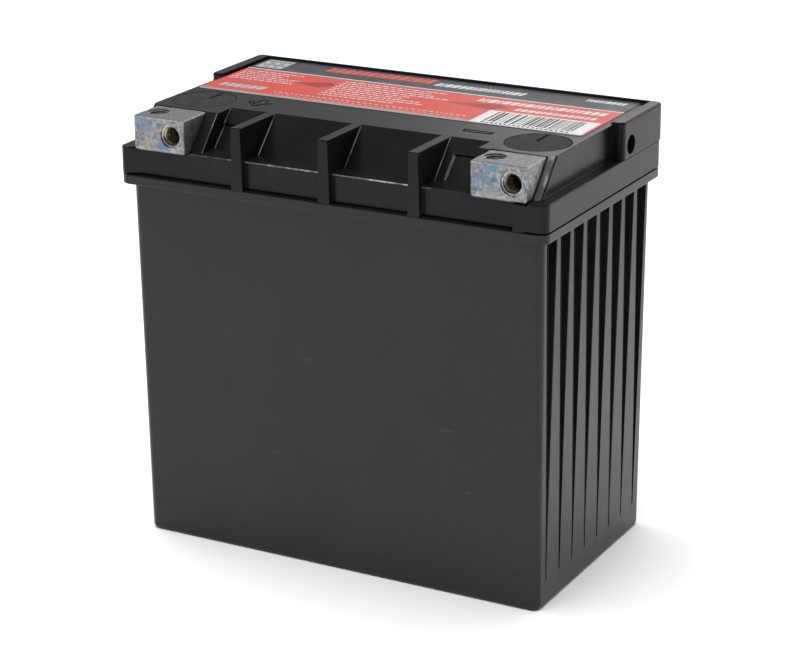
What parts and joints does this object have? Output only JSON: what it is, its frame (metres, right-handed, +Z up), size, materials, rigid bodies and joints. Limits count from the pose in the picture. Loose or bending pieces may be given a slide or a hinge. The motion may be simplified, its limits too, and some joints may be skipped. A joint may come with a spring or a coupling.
{
  "type": "motorcycle battery",
  "caption": "Sealed lead-acid motorcycle battery: black case with fluted ends, ribbed lid, block terminals with tapped holes, and a printed top label.",
  "frame": {"origin": "centre of the bottom face", "axes": "+X along the long side towards the negative terminal, +Y to the back, terminals facing -Y, +Z up"},
  "size_m": [0.15, 0.087, 0.145],
  "materials": {
    "case_plastic": "black polypropylene, satin",
    "lid_plastic": "black polypropylene, satin, worn on its edges",
    "label_film": "printed film",
    "terminal_alloy": "tinned cast lead alloy, mottled",
    "insert_brass": "tapped brass",
    "cast_lead": "dull cast lead",
    "positive_paste": "dark brown pasted plate",
    "negative_paste": "grey pasted plate",
    "glass_mat": "white glass-fibre mat",
    "valve_rubber": "matt",
    "disc_plastic": "black, matt",
    "frit": "porous"
  },
  "bodies": {
    "battery": {"case": "case_plastic", "lid": "lid_plastic", "vent_cover": "lid_plastic", "label": "label_film", "intercell_welds": "cast_lead", "positive_plates_1": "positive_paste", "negative_plates_1": "negative_paste", "separators_1": "glass_mat", "positive_strap_1": "cast_lead", "negative_strap_1": "cast_lead", "positive_plates_2": "positive_paste", "negative_plates_2": "negative_paste", "separators_2": "glass_mat", "positive_strap_2": "cast_lead", "negative_strap_2": "cast_lead", "positive_plates_3": "positive_paste", "negative_plates_3": "negative_paste", "separators_3": "glass_mat", "positive_strap_3": "cast_lead", "negative_strap_3": "cast_lead", "positive_plates_4": "positive_paste", "negative_plates_4": "negative_paste", "separators_4": "glass_mat", "positive_strap_4": "cast_lead", "negative_strap_4": "cast_lead", "positive_plates_5": "positive_paste", "negative_plates_5": "negative_paste", "separators_5": "glass_mat", "positive_strap_5": "cast_lead", "negative_strap_5": "cast_lead", "positive_plates_6": "positive_paste", "negative_plates_6": "negative_paste", "separators_6": "glass_mat", "positive_strap_6": "cast_lead", "negative_strap_6": "cast_lead", "terminal_positive": "terminal_alloy", "front_insert_positive": "insert_brass", "top_insert_positive": "insert_brass", "post_positive": "cast_lead", "post_bushing_positive": "cast_lead", "post_seal_positive": "valve_rubber", "well_disc_positive": "disc_plastic", "terminal_negative": "terminal_alloy", "front_insert_negative": "insert_brass", "top_insert_negative": "insert_brass", "post_negative": "cast_lead", "post_bushing_negative": "cast_lead", "post_seal_negative": "valve_rubber", "well_disc_negative": "disc_plastic", "vent_frit_left": "frit", "vent_frit_right": "frit"},
    "cap_1": {"valve_cap_1": "valve_rubber"},
    "cap_2": {"valve_cap_2": "valve_rubber"},
    "cap_3": {"valve_cap_3": "valve_rubber"},
    "cap_4": {"valve_cap_4": "valve_rubber"},
    "cap_5": {"valve_cap_5": "valve_rubber"},
    "cap_6": {"valve_cap_6": "valve_rubber"}
  },
  "joints": [
    {"name": "valve_lift_1", "type": "slide", "parent": "battery", "child": "cap_1", "axis": [0, 0, 1], "range_m": [0, 0.0008], "stiffness_N_per_m": 1000},
    {"name": "valve_lift_2", "type": "slide", "parent": "battery", "child": "cap_2", "axis": [0, 0, 1], "range_m": [0, 0.0008], "stiffness_N_per_m": 1000},
    {"name": "valve_lift_3", "type": "slide", "parent": "battery", "child": "cap_3", "axis": [0, 0, 1], "range_m": [0, 0.0008], "stiffness_N_per_m": 1000},
    {"name": "valve_lift_4", "type": "slide", "parent": "battery", "child": "cap_4", "axis": [0, 0, 1], "range_m": [0, 0.0008], "stiffness_N_per_m": 1000},
    {"name": "valve_lift_5", "type": "slide", "parent": "battery", "child": "cap_5", "axis": [0, 0, 1], "range_m": [0, 0.0008], "stiffness_N_per_m": 1000},
    {"name": "valve_lift_6", "type": "slide", "parent": "battery", "child": "cap_6", "axis": [0, 0, 1], "range_m": [0, 0.0008], "stiffness_N_per_m": 1000}
  ]
}
